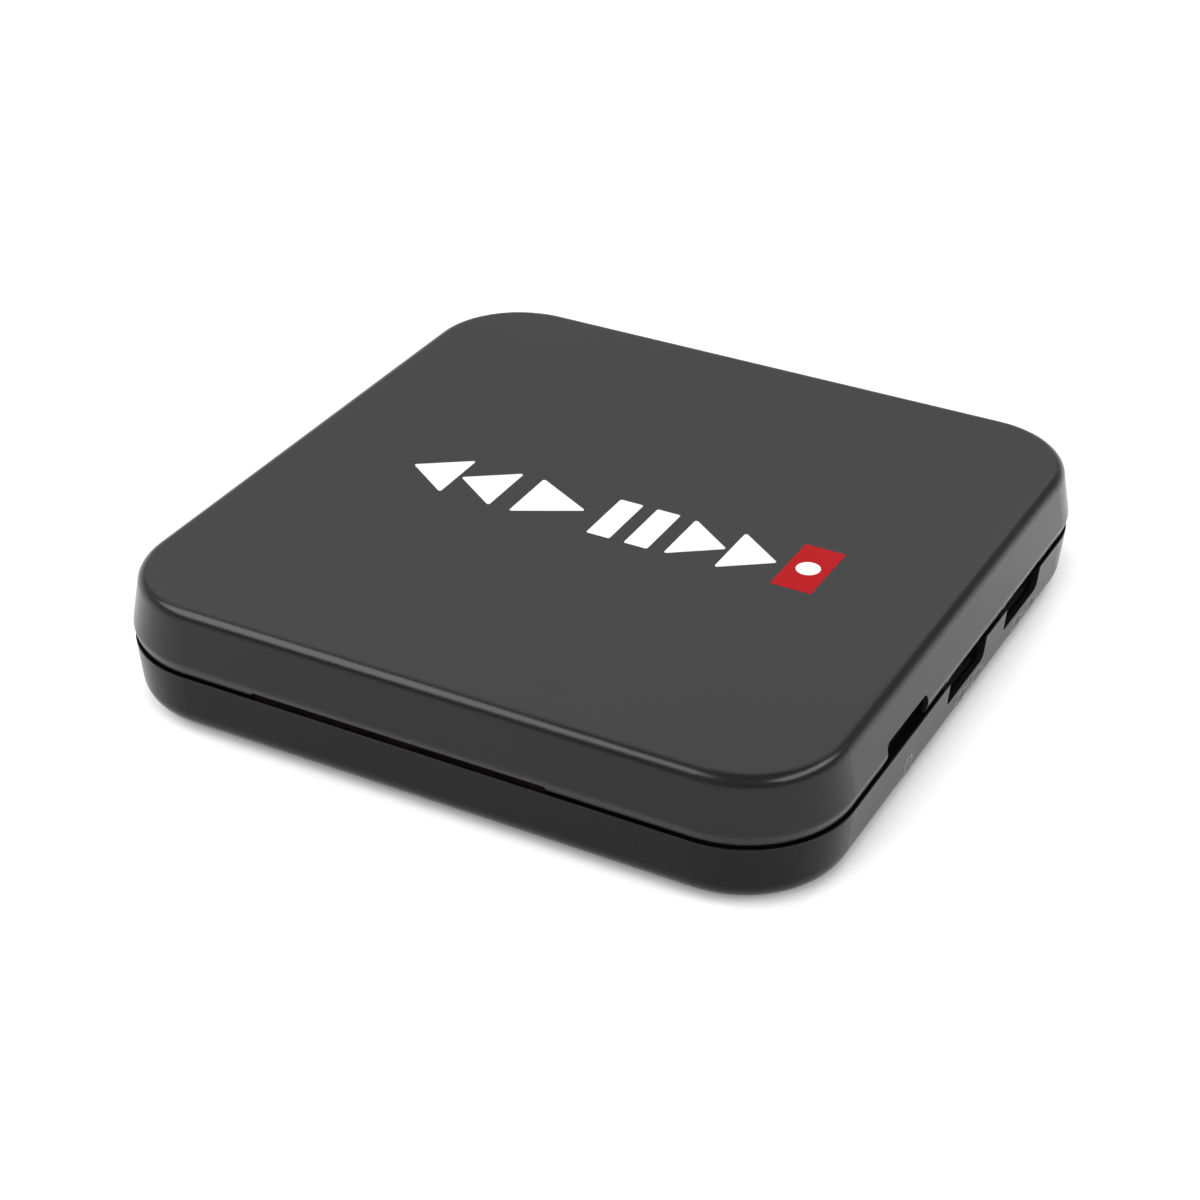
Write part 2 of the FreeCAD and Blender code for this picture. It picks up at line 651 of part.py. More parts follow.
def card_ejector():
    """L-shaped slide: a leg along the side rail and a foot that the card's end pushes on."""
    x0, y0 = ejector_track()
    z0, z1 = card_low + 0.55, card_low + card_height - 0.3
    # the foot stands clear of the spring behind it and of the raised contacts in front
    start = x0 + ejector_travel + 0.6
    leg = block(start + 0.6, start + 7.5, y0 + 0.05, card_y - bay_half - 0.05, z0, z1)
    foot = block(start, start + 1.3, y0 + 0.05, card_y - 2.2, z0 + 0.3, z1)
    heart = rod(0.2, start + 5.4, y0 + 0.45, z0 + 0.3, z1 + 0.5)
    return join([leg, foot]).cut(heart)


def card_spring():
    """Return spring behind the ejector's leg, as close rings of wire on a line along X."""
    x0, y0 = ejector_track()
    x_end = x0 + ejector_travel + 0.6
    radius, wire, count = 0.36, 0.07, 9
    z = card_low + 1.0
    pitch = (x_end - x0 - 0.3) / (count - 1)
    return [Part.makeTorus(radius, wire, Vector(x0 + 0.15 + n * pitch, y0 + 0.55, z), Vector(1, 0, 0))
            for n in range(count)]


# ---- chips and small components -----------------------------------------------------------
def processor():
    carrier = centred(processor_x, processor_y, board_top, 17.0, 17.0, 0.6)
    mould = centred(processor_x, processor_y, board_top + 0.5, 15.6, 15.6, 0.8)
    dot = rod(0.6, processor_x - 6.4, processor_y + 6.4, chip_top - 0.1, chip_top + 1)
    return join([carrier, mould]).cut(dot)


def heat_pad():
    return centred(processor_x, processor_y, chip_top, 16.0, 16.0, pad_thick)


def heat_sink():
    low, high = chip_top + pad_thick, ceiling - 1.3
    plate = centred(processor_x, processor_y, low, sink_size, sink_size, 1.2)
    step = (sink_size - fin_thick) / (sink_fins - 1)
    x0, y0 = processor_x - sink_size / 2, processor_y - sink_size / 2
    blades = [block(x0 + n * step, x0 + n * step + fin_thick, y0, y0 + sink_size, low + 1.0, high)
              for n in range(sink_fins)]
    return join([plate] + blades)


def chip(x, y, width, depth, height, legs=0):
    """Moulded package with a pin-one dimple and, if asked, a row of legs on its front and back."""
    body = centred(x, y, board_top + 0.1, width, depth, height - 0.1)
    body = body.makeChamfer(0.12, [e for e in body.Edges if e.BoundBox.ZMin > board_top + height - 0.01])
    pieces = [body]
    span = width - 1.2
    for n in range(legs):
        x_leg = x - span / 2 + span * n / (legs - 1)
        for side in (-1, 1):
            pieces.append(centred(x_leg, y + side * (depth / 2 + 0.3), board_top, 0.35, 0.9, 0.35))
    if not legs:
        pieces.append(centred(x, y, board_top, width - 0.6, depth - 0.6, 0.3))
    dimple = rod(0.4, x - width / 2 + 0.9, y + depth / 2 - 0.9, board_top + height - 0.08, board_top + 9)
    return join(pieces).cut(dimple)


def memory_chips():
    return [chip(processor_x + dx, y, 8.0, 12.5, 1.0) for dx in (-23.0, 21.5) for y in (-9.0, 6.5)]


def flash_chip():
    return chip(processor_x - 1.0, 23.5, 13.0, 11.5, 1.0)


def power_chips():
    small = [chip(31.0, y, 3.2, 3.2, 0.9, legs=4) for y in (30.5, 24.0)]
    return small + [chip(-14.0, 27.0, 5.0, 4.0, 1.2, legs=4), chip(24.5, -33.0, 6.0, 5.0, 1.4, legs=5)]


def lan_transformer():
    return chip(lan_x, 26.5, 12.7, 7.2, 4.6, legs=8)


def power_inductors():
    coils = []
    for x, y, size, height in ((23.5, 21.0, 5.0, 2.8), (30.0, -20.5, 6.0, 3.0), (23.0, -23.0, 4.0, 2.0)):
        body = centred(x, y, board_top, size, size, height)
        upright = [e for e in body.Edges if e.BoundBox.ZLength > height - 0.1]
        coils.append(body.makeFillet(size * 0.16, upright))
    return coils


def storage_capacitors():
    """Aluminium cans on square plastic seats."""
    cans = []
    for x, y, radius, height in ((31.5, 10.5, 2.5, 5.2), (31.5, 4.5, 2.5, 5.2), (31.0, -5.0, 2.0, 4.8)):
        seat = centred(x, y, board_top, 2 * radius + 0.4, 2 * radius + 0.4, 0.9)
        can = rod(radius, x, y, board_top + 0.5, board_top + height)
        can = can.makeFillet(0.35, [e for e in can.Edges if e.BoundBox.ZMin > board_top + height - 0.01])
        waist = rod(radius + 1, x, y, board_top + 1.3, board_top + 1.6).cut(
            rod(radius - 0.2, x, y, board_top + 1, board_top + 2))
        cans.append(join([seat, can]).cut(waist))
    return cans


def ceramic_capacitors():
    """Small blocks in rows beside the processor, the memory and the power chips."""
    spots = [(processor_x + (n - 4.5) * 3.0, -20.2) for n in range(10)]
    spots += [(-14.0 + n * 3.2, 31.5) for n in range(3)]
    spots += [(-13.5, 20.0 + n * 2.0) for n in range(2)]
    spots += [(35.0, -36.0 + n * 2.4) for n in range(3)]
    spots += [(24.8, 33.5 - n * 2.2) for n in range(3)]
    return [centred(x, y, board_top, 1.6, 0.8, 0.8) for x, y in spots]


def chip_resistors():
    spots = [(processor_x + (n - 4.5) * 3.0, -22.2) for n in range(10)]
    spots += [(-36.0 + n * 1.8, y) for y in (-14.0, 30.0) for n in range(4)]
    return [centred(x, y, board_top, 1.0, 0.5, 0.35) for x, y in spots]


def crystal():
    x, y = -17.0, -18.2
    return join([centred(x, y, board_top + 0.2, 3.2, 2.5, 0.6), centred(x, y, board_top, 2.8, 2.1, 0.4)])


def wireless_board():
    return centred(wireless_x, wireless_y, board_top, 12.6, 12.4, 0.8)


def wireless_can():
    y = wireless_y - 1.3
    outer = centred(wireless_x, y, board_top + 0.8, 11.0, 9.4, 1.6)
    outer = outer.makeFillet(0.4, [e for e in outer.Edges if e.BoundBox.ZMin > board_top + 2.3])
    return outer.cut(centred(wireless_x, y, board_top + 0.7, 10.6, 9.0, 1.5))


def antenna():
    """Flexible aerial standing against the left wall, with a slot in its foil."""
    wall = -half + upper_wall_inset
    strip = block(wall + 0.05, wall + 0.25, *aerial_y, tongue_top + 0.6, ceiling - 1.4)
    return strip.cut(block(wall - 1, wall + 1, aerial_y[0] + 8, aerial_y[1] - 6, tongue_top + 2.2,
                           tongue_top + 2.7))


def antenna_lead():
    """Coaxial lead from the wireless module to the aerial: straight runs joined by tangent arcs."""
    z0, z1 = board_top + 0.9 + lead_radius, tongue_top + 1.6
    x_wall = -half + upper_wall_inset + 0.3 + lead_radius
    points = [Vector(plug_x, plug_y + 1.12, z0), Vector(plug_x, plug_y + 7.0, z0), Vector(-41.5, -14.0, z1),
              Vector(x_wall, -9.0, z1), Vector(x_wall, -3.5, z1)]
    edges, start = [], points[0]
    for i in range(1, len(points) - 1):
        here, back, on = points[i], points[i - 1] - points[i], points[i + 1] - points[i]
        half_angle = back.getAngle(on) / 2
        reach = 0.45 * min(back.Length, on.Length)
        radius = reach * math.tan(half_angle)
        back.normalize()
        on.normalize()
        first, last = here + back * reach, here + on * reach
        middle = here + (back + on).normalize() * (radius / math.sin(half_angle) - radius)
        edges.append(Part.LineSegment(start, first).toShape())
        edges.append(Part.Arc(first, middle, last).toShape())
        start = last
    edges.append(Part.LineSegment(start, points[-1]).toShape())
    path = Part.Wire(edges)
    ring = Part.Wire(Part.makeCircle(lead_radius, points[0], points[1] - points[0]))
    return path.makePipeShell([ring], True, False)


def antenna_plug():
    """Tiny snap-on coaxial plug on the wireless module."""
    base = rod(1.1, plug_x, plug_y, board_top + 0.8, board_top + 2.2)
    return base.makeFillet(0.2, [e for e in base.Edges if e.BoundBox.ZMin > board_top + 2.1])


def ir_receiver():
    """Receiver with a domed lens, standing at the front edge of the board behind the window."""
    x, y = receiver_x, -46.0
    body = centred(x, y, board_top, 6.0, 3.0, 4.6)
    lens = Part.makeSphere(1.9, Vector(x, y - 1.2, board_top + 1.9)).common(
        block(x - 3, x + 3, y - 4, y, board_top, board_top + 5))
    return body.fuse(lens).removeSplitter()


def status_lamp():
    return centred(lamp_x, -44.6, board_top, 3.0, 1.6, 1.2)


def light_guide():
    """Clear bar that carries the lamp's light to the window."""
    width, back, front = 2.6, -45.45, -49.6
    x, low, high = lamp_x - width / 2, board_top + 0.1, board_top + 1.3
    return prism([(x, back, low), (x, front, low), (x, front, high, 0.3), (x, back, high)], (width, 0, 0))


def recovery_switch():
    body = centred(switch_x, switch_y, board_low - switch_height, switch_size, switch_size, switch_height)
    well = rod(plunger_radius + 0.1, switch_x, switch_y, board_low - 4, board_low - 1.5)
    return body.cut(well)


def recovery_plunger():
    stem = rod(plunger_radius, switch_x, switch_y, board_low - 4.5, board_low - 1.9)
    return stem.makeFillet(0.3, [e for e in stem.Edges if e.BoundBox.ZMax < board_low - 4.4])


def placed_back(shapes, x, z):
    shapes = shapes if isinstance(shapes, list) else [shapes]
    return [facing_back(shape, x, z) for shape in shapes]


def main():
    os.makedirs("parts", exist_ok=True)
    keep("upper_shell", upper_shell())
    keep("lower_shell", lower_shell())
    keep("ir_window", ir_window())
    keep("rubber_feet", rubber_feet())
    keep("rating_label", rating_label())
    keep("case_screws", case_screws())
    keep("board_screws", board_screws())
    keep("main_board", main_board())

    for place, y in zip(("front", "rear"), usb_y):
        keep(f"usb_{place}_shield", facing_right(usb_shield(), y, usb_middle))
        keep(f"usb_{place}_tongue", facing_right(usb_tongue(), y, usb_middle))
        keep(f"usb_{place}_contacts", [facing_right(c, y, usb_middle) for c in usb_contacts()])

    keep("card_socket_frame", card_frame())
    keep("card_socket_cover", card_cover())
    keep("card_socket_contacts", card_contacts())
    keep("card_ejector", card_ejector())
    keep("card_ejector_spring", card_spring())

    keep("hdmi_shield", placed_back(hdmi_shield(), hdmi_x, hdmi_low))
    keep("hdmi_tongue", placed_back(hdmi_tongue(), hdmi_x, hdmi_low))
    keep("hdmi_contacts", placed_back(hdmi_contacts(), hdmi_x, hdmi_low))
    keep("network_housing", placed_back(lan_housing(), lan_x, lan_middle))
    keep("network_shield", placed_back(lan_shield(), lan_x, lan_middle))
    keep("network_contacts", placed_back(lan_contacts(), lan_x, lan_middle))
    keep("network_lamps", placed_back(lan_lamps(), lan_x, lan_middle))
    keep("optical_housing", placed_back(optical_housing(), optical_x, optical_middle))
    keep("optical_shutter", placed_back(optical_shutter(), optical_x, optical_middle))
    keep("optical_shutter_pin", placed_back(optical_pin(), optical_x, optical_middle))
    keep("optical_shutter_spring", placed_back(optical_spring(), optical_x, optical_middle))
    keep("optical_emitter", placed_back(optical_emitter(), optical_x, optical_middle))
    keep("av_jack_housing", placed_back(av_housing(), av_x, av_axis))
    keep("av_jack_collar", placed_back(av_bushing(), av_x, av_axis))
    keep("av_jack_contacts", placed_back(av_contacts(), av_x, av_axis))
    keep("power_inlet_housing", placed_back(power_housing(), power_x, power_axis))
    keep("power_inlet_pin", placed_back(power_pin_piece(), power_x, power_axis))
    keep("power_inlet_spring", placed_back(power_spring(), power_x, power_axis))

    keep("processor", processor())
    keep("heat_pad", heat_pad())
    keep("heat_sink", heat_sink())
    keep("memory_chips", memory_chips())
    keep("flash_chip", flash_chip())
    keep("power_chips", power_chips())
    keep("network_transformer", lan_transformer())
    keep("power_inductors", power_inductors())
    keep("storage_capacitors", storage_capacitors())
    keep("ceramic_capacitors", ceramic_capacitors())
    keep("chip_resistors", chip_resistors())
    keep("clock_crystal", crystal())
    keep("wireless_board", wireless_board())
    keep("wireless_shield", wireless_can())
    keep("antenna", antenna())
    keep("antenna_lead", antenna_lead())
    keep("antenna_plug", antenna_plug())
    keep("ir_receiver", ir_receiver())
    keep("status_lamp", status_lamp())
    keep("light_guide", light_guide())
    keep("recovery_switch", recovery_switch())
    keep("recovery_plunger", recovery_plunger())


main()
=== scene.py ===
"""Looks of the compact square set-top recorder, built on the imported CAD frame. Metres, +Z up."""
import json
import math

import bmesh
import bpy
from mathutils import Matrix, Vector
from mathutils.bvhtree import BVHTree


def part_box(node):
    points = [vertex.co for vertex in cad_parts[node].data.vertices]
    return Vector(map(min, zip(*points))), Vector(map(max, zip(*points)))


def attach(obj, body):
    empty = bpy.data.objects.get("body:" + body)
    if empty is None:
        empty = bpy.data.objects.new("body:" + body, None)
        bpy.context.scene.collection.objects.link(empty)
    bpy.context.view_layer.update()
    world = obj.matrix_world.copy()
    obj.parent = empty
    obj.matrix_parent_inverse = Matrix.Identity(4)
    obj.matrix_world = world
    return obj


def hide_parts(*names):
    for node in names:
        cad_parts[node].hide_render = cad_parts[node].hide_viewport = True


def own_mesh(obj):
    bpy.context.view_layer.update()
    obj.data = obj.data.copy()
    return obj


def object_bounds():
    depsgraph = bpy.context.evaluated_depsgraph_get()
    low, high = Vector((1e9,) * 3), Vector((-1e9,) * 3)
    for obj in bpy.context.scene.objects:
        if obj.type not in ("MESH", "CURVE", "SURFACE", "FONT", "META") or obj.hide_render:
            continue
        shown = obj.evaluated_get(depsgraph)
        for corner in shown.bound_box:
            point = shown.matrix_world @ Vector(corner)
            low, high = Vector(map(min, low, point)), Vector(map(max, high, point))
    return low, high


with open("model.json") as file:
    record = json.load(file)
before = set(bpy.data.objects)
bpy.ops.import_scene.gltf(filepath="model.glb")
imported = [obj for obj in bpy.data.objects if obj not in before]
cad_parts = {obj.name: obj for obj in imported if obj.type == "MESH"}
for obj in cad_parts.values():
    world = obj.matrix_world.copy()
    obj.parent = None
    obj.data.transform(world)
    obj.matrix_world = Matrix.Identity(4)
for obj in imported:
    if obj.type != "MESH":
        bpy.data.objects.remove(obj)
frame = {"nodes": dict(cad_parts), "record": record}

MM = 0.001
cad_low, cad_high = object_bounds()
NODES = frame["nodes"]

# ---- camera ---------------------------------------------------------------------------------
AZIMUTH, ELEVATION = 27.957, 31.780    # degrees to the right of the front, and above the floor
ROLL = 0.335                           # degrees about its own line of sight
CAMERA_DISTANCE = 365.6 * MM
LENS, SENSOR = 77.88, 36.0
AIM_HEIGHT = 11.3 * MM                 # of a point over the case's middle. The view's centre lies
AIM_RIGHT, AIM_UP = -2.50 * MM, -6.02 * MM    # this far from that point, in the view's own plane

# ---- light ----------------------------------------------------------------------------------
ROOM_LEVEL, ROOM_LOW = 0.25, 0.35      # brightness added all round, and the least there is anywhere
ROOM_SLOPE = (-0.37, 0.30, 0.0)        # brighter to the left and to the back
HORIZON, HORIZON_TOP = 1.0, 0.30       # extra brightness at the horizon, and how high it reaches
DARK_SIDE = (0.47, -0.88, 0.0)         # that extra fades out towards here, the camera's side,
FADE_START, FADE_END = -0.4, 1.0       # between these cosines
OVERHEAD, OVERHEAD_SPREAD = 2.3, 60.0  # strength, and spread in degrees
OVERHEAD_FROM = (0.08, -0.60, 1)
LOW_LIGHT, LOW_SPREAD, LOW_HEIGHT = 1.35, 40.0, 0.42
LOW_LIGHTS = (("low_front", 0, -1), ("low_back", 0, 1), ("low_left", -1, 0), ("low_right", 1, 0))
# name, direction from the case, distance, width, height (metres), and radiance
SOFTBOXES = (("back_left", (-0.364, 0.561, 0.743), 0.9, 1.1, 0.55, 0.80),
             ("front_left", (-0.51, -0.40, 0.77), 0.7, 0.51, 0.43, 6.0),
             ("right", (0.66, 0.08, 0.745), 0.7, 0.72, 0.26, 6.4))

# ---- colours and finishes -------------------------------------------------------------------
CASE_GREY = (0.0052, 0.0052, 0.0054)
# lighter colour on the rounded edges of the case: partly rubbed wear, partly a painted sheen
WORN_AND_SHEEN_GREY = (0.028, 0.028, 0.029)
INK_WHITE = (0.62, 0.62, 0.62)
INK_RED = (0.29, 0.003, 0.006)
INK_GREY = (0.20, 0.20, 0.205)
CASE_ROUGHNESS = 0.24
TRAY_IOR = 1.21                        # the tray reflects less than the lid
OPEN_FACE, SHARP_EDGE = 0.995, 0.82    # cosine between a rounded and a true normal
MIX_A, MIX_B, MIX_RESULT = 6, 7, 2     # the colour sockets of a Mix node

# ---- prints, in millimetres -----------------------------------------------------------------
LID = cad_high.z / MM
MARK_LOW, MARK_HIGH = -7.8, 2.5        # front and back edge of the row of symbols
ARROWS = ((-24.3, -31.7), (-16.4, -23.8), (-13.2, -3.7), (10.9, 18.0), (18.5, 25.6))    # back, tip
BARS = ((-0.9, 2.7), (4.9, 8.5))       # left, right
MARK_ROUND, TAB_ROUND = 0.30, 0.15
TAB = (26.9, -7.9, 32.9, 3.7)
TAB_DOT = 1.7
INK, INK_ROOT = 0.015, 0.02            # how far flat ink stands proud, and how far it reaches in
DOT_ROOT = 0.005                       # how far the dot reaches into the tab
LINE_RISE, LINE_SINK = 0.035, 0.03     # how far a pictogram's lines stand proud and reach in
LINE_STEP = 0.35                       # length of the short straight pieces they are laid in
BOLD_LINE, LINE, THIN_LINE = 0.32, 0.26, 0.22
LABEL = (-16.2, -35.7, 16.2, -22.3)    # the printed frame on the rating label
LABEL_ROWS = (17.0, 13.5, 15.5, 9.0, 12.0)
ROW_HEIGHT, ROW_PITCH, ROW_TOP, ROW_INSET = 0.8, 2.1, 1.8, 1.6
DOUBLE_SQUARE, SQUARE_INSET = (2.6, 1.5), 4.6    # half sizes, and the middle's distance from the frame

# ---- return spring --------------------------------------------------------------------------
WIRE, TURNS = 0.07 * MM, 5             # radius of the wire
STEPS, SIDES = 20, 8                   # per turn, and round the wire


# ---- node trees -----------------------------------------------------------------------------
def map_range(nodes, links, value, low, high, to_low, to_high):
    """The value, carried from one range of numbers over to another and held within it."""
    node = nodes.new("ShaderNodeMapRange")
    links.new(value, node.inputs["Value"])
    ends = {"From Min": low, "From Max": high, "To Min": to_low, "To Max": to_high}
    for name, number in ends.items():
        node.inputs[name].default_value = number
    return node.outputs["Result"]


class Looks:
    """One material's node tree, with short calls for the nodes that the materials share."""

    def __init__(self, name):
        self.material = bpy.data.materials.new(name)
        self.material.use_nodes = True
        self.nodes = self.material.node_tree.nodes
        self.links = self.material.node_tree.links
        self.shader = self.nodes["Principled BSDF"]
        self.place = self.nodes.new("ShaderNodeTexCoord").outputs["Object"]

    def link(self, value, socket):
        """A number or colour goes on the socket itself, and a node's output is linked to it."""
        if isinstance(value, bpy.types.NodeSocket):
            self.links.new(value, socket)
        elif isinstance(value, (tuple, list)) and len(value) == 3 and socket.type == "RGBA":
            socket.default_value = (*value, 1.0)
        else:
            socket.default_value = value

    def set(self, **values):
        for name, value in values.items():
            self.link(value, self.shader.inputs[name.replace("_", " ")])

    def stretched(self, x=1.0, y=1.0, z=1.0):
        node = self.nodes.new("ShaderNodeMapping")
        self.links.new(self.place, node.inputs["Vector"])
        node.inputs["Scale"].default_value = (x, y, z)
        return node.outputs["Vector"]

    def noise(self, size, detail=2.0, rough=0.5, at=None):
        """Cloudy noise whose lumps measure about size metres."""
        node = self.nodes.new("ShaderNodeTexNoise")
        self.links.new(at or self.place, node.inputs["Vector"])
        node.inputs["Scale"].default_value = 1.0 / size
        node.inputs["Detail"].default_value = detail
        node.inputs["Roughness"].default_value = rough
        return node.outputs["Fac"]

    def cells(self, size, feature="F1"):
        """Distances in a pattern of cells about size metres across."""
        node = self.nodes.new("ShaderNodeTexVoronoi")
        self.links.new(self.place, node.inputs["Vector"])
        node.feature = feature
        node.inputs["Scale"].default_value = 1.0 / size
        return node.outputs["Distance"]

    def spread(self, value, low, high, to_low, to_high):
        return map_range(self.nodes, self.links, value, low, high, to_low, to_high)

    def blend(self, share, first, second):
        node = self.nodes.new("ShaderNodeMix")
        node.data_type = "RGBA"
        self.link(share, node.inputs["Factor"])
        self.link(first, node.inputs[MIX_A])
        self.link(second, node.inputs[MIX_B])
        return node.outputs[MIX_RESULT]

    def math(self, kind, first, second):
        node = self.nodes.new("ShaderNodeMath")
        node.operation = kind
        self.link(first, node.inputs[0])
        self.link(second, node.inputs[1])
        return node.outputs[0]

    def edges(self, radius):
        """0 on open faces, rising towards 1 on rounded edges: where a hand or a table rubs, and where the
        moulded plastics get a painted sheen.
        """
        bevel = self.nodes.new("ShaderNodeBevel")
        bevel.samples = 4
        bevel.inputs["Radius"].default_value = radius
        geometry = self.nodes.new("ShaderNodeNewGeometry")
        dot = self.nodes.new("ShaderNodeVectorMath")
        dot.operation = "DOT_PRODUCT"
        self.links.new(bevel.outputs["Normal"], dot.inputs[0])
        self.links.new(geometry.outputs["Normal"], dot.inputs[1])
        return self.spread(dot.outputs["Value"], OPEN_FACE, SHARP_EDGE, 0.0, 1.0)

    def relief(self, *layers):
        """Bump layers, each (height, strength, distance in metres), one on the other."""
        normal = None
        for height, strength, distance in layers:
            node = self.nodes.new("ShaderNodeBump")
            node.inputs["Strength"].default_value = strength
            node.inputs["Distance"].default_value = distance
            self.links.new(height, node.inputs["Height"])
            if normal is not None:
                self.links.new(normal, node.inputs["Normal"])
            normal = node.outputs["Normal"]
        self.links.new(normal, self.shader.inputs["Normal"])


def shade(colour, factor):
    """The colour, made lighter or darker by this factor."""
    return tuple(min(1.0, part * factor) for part in colour)


def moulded_plastic(name, colour, edge_wear_and_sheen, rough, grain=0.22 * MM, ior=1.34):
    """Spark-textured moulding: fine grain, faint cloudiness, and slightly polished edges whose lighter
    colour is partly rubbed wear and partly a painted sheen.
    """
    gloss_change, depth = 0.03, 0.012 * MM
    look = Looks(name)
    cloud = look.noise(18 * MM, 3.0, 0.55)
    fine = look.noise(grain, 3.0, 0.6)
    pits = look.cells(grain * 1.7, "SMOOTH_F1")
    edge_patchiness = look.spread(look.noise(2.5 * MM, 4.0), 0.35, 0.65, 0.2, 0.5)
    # the edges, broken up by noise, take a lighter colour and a little more gloss: rubbed wear with a
    # painted sheen
    wear_and_sheen = look.math("MULTIPLY", look.edges(0.5 * MM), edge_patchiness)
    tint = look.blend(look.spread(cloud, 0.15, 0.85, 0.0, 1.0), colour, shade(colour, 1.2))
    tint = look.blend(look.spread(fine, 0.42, 0.58, 0.0, 0.18), tint, shade(colour, 1.5))
    base = look.blend(wear_and_sheen, tint, edge_wear_and_sheen)
    gloss = look.spread(cloud, 0.15, 0.85, rough - gloss_change, rough + gloss_change)
    gloss = look.math("SUBTRACT", gloss, look.math("MULTIPLY", wear_and_sheen, 0.12))
    look.set(Base_Color=base, Roughness=gloss, IOR=ior)
    look.relief((pits, 0.35, depth), (fine, 0.5, depth))
    return look.material


def smoked_window():
    """Dark, faintly red infrared plastic with a haze and fine smears."""
    look = Looks("smoked_window")
    haze = look.noise(4 * MM, 3.0)
    smears = look.noise(1.2 * MM, 2.0, at=look.stretched(0.2, 1.0, 1.0))
    base = look.blend(look.spread(haze, 0.3, 0.7, 0.0, 1.0), (0.003, 0.0025, 0.003), (0.007, 0.005, 0.006))
    look.set(Base_Color=base, Roughness=look.spread(smears, 0.3, 0.7, 0.08, 0.18), IOR=1.38)
    look.relief((haze, 0.15, 0.02 * MM))
    return look.material


def soft_rubber():
    """Matt black rubber, dusty and paler on its edges."""
    look = Looks("foot_rubber")
    pits = look.cells(0.25 * MM)
    dust = look.noise(1.1 * MM, 4.0, 0.6)
    base = look.blend(look.spread(dust, 0.5, 0.75, 0.0, 0.6), (0.018, 0.018, 0.019), (0.055, 0.053, 0.05))
    base = look.blend(look.edges(0.3 * MM), base, (0.06, 0.058, 0.055))
    look.set(Base_Color=base, Roughness=look.spread(dust, 0.3, 0.7, 0.72, 0.92))
    look.relief((pits, 0.6, 0.03 * MM), (dust, 0.4, 0.02 * MM))
    return look.material


def label_film():
    """Brushed silver film."""
    look = Looks("label_film")
    weave = look.noise(0.12 * MM, 2.0)
    cloud = look.noise(9 * MM, 2.0)
    base = look.blend(look.spread(cloud, 0.3, 0.7, 0.0, 1.0), (0.30, 0.31, 0.32), (0.36, 0.365, 0.37))
    base = look.blend(look.edges(0.25 * MM), base, (0.5, 0.5, 0.5))
    look.set(Base_Color=base, Metallic=0.35, Roughness=look.spread(weave, 0.3, 0.7, 0.34, 0.5))
    look.relief((weave, 0.25, 0.004 * MM))
    return look.material


def metal(name, colour, tarnish, rough, streak=(1.0, 1.0, 1.0)):
    """Plated or drawn metal: streaks along the way it was formed, dull patches, and bright edges."""
    depth = 0.004 * MM
    look = Looks(name)
    streaks = look.noise(0.25 * MM, 4.0, 0.6, at=look.stretched(*streak))
    patches = look.noise(2.4 * MM, 4.0, 0.55)
    dull = look.spread(patches, 0.42, 0.72, 0.0, 0.75)
    base = look.blend(dull, colour, tarnish)
    base = look.blend(look.edges(0.15 * MM), base, shade(colour, 1.25))
    gloss = look.math("ADD", look.spread(streaks, 0.3, 0.7, rough - 0.06, rough + 0.08),
                      look.math("MULTIPLY", dull, 0.15))
    look.set(Base_Color=base, Metallic=1.0, Roughness=gloss)
    look.relief((streaks, 0.35, depth), (patches, 0.2, depth * 2))
    return look.material


def circuit_board():
    """Green lacquered laminate: copper tracks show through as raised, lighter lines."""
    look = Looks("circuit_board")
    tracks = look.cells(2.2 * MM, "DISTANCE_TO_EDGE")
    lines = look.spread(tracks, 0.05, 0.09, 1.0, 0.0)
    weave = look.noise(0.4 * MM, 2.0)
    base = look.blend(lines, (0.004, 0.028, 0.013), (0.009, 0.062, 0.027))
    base = look.blend(look.spread(weave, 0.35, 0.65, 0.0, 0.25), base, (0.012, 0.042, 0.026))
    look.set(Base_Color=base, Roughness=look.spread(weave, 0.3, 0.7, 0.22, 0.36), Coat_Weight=0.5)
    look.relief((lines, 0.5, 0.03 * MM), (weave, 0.2, 0.01 * MM))
    return look.material


def clear_lamp():
    """Half-clear, greenish plastic of the unlit lamps."""
    look, colour = Looks("lamp_plastic"), (0.62, 0.80, 0.55)
    swirl = look.noise(0.8 * MM, 3.0)
    base = look.blend(look.spread(swirl, 0.3, 0.7, 0.0, 1.0), colour, shade(colour, 0.75))
    look.set(Base_Color=base, Roughness=look.spread(swirl, 0.3, 0.7, 0.12, 0.3), Transmission_Weight=0.5)
    look.relief((swirl, 0.2, 0.01 * MM))
    return look.material


def fired_ceramic():
    """Speckled tan ceramic of the small capacitors."""
    look = Looks("fired_ceramic")
    speck = look.noise(0.12 * MM, 3.0)
    base = look.blend(look.spread(speck, 0.4, 0.6, 0.0, 1.0), (0.28, 0.18, 0.10), (0.42, 0.30, 0.19))
    look.set(Base_Color=base, Roughness=look.spread(speck, 0.3, 0.7, 0.35, 0.55))
    look.relief((speck, 0.3, 0.01 * MM))
    return look.material


def printed_ink(name, colour, under):
    """Screen-printed ink: slightly uneven cover, with the plastic's grain showing through it."""
    look = Looks(name)
    cover = look.noise(0.35 * MM, 3.0)
    grain = look.noise(0.22 * MM, 3.0, 0.6)
    base = look.blend(look.spread(cover, 0.25, 0.40, 0.12, 0.0), colour, under)
    gloss = look.spread(cover, 0.3, 0.7, 0.5, 0.62)
    look.set(Base_Color=base, Roughness=gloss, Specular_IOR_Level=0.05)
    look.relief((grain, 0.35, 0.008 * MM))
    return look.material


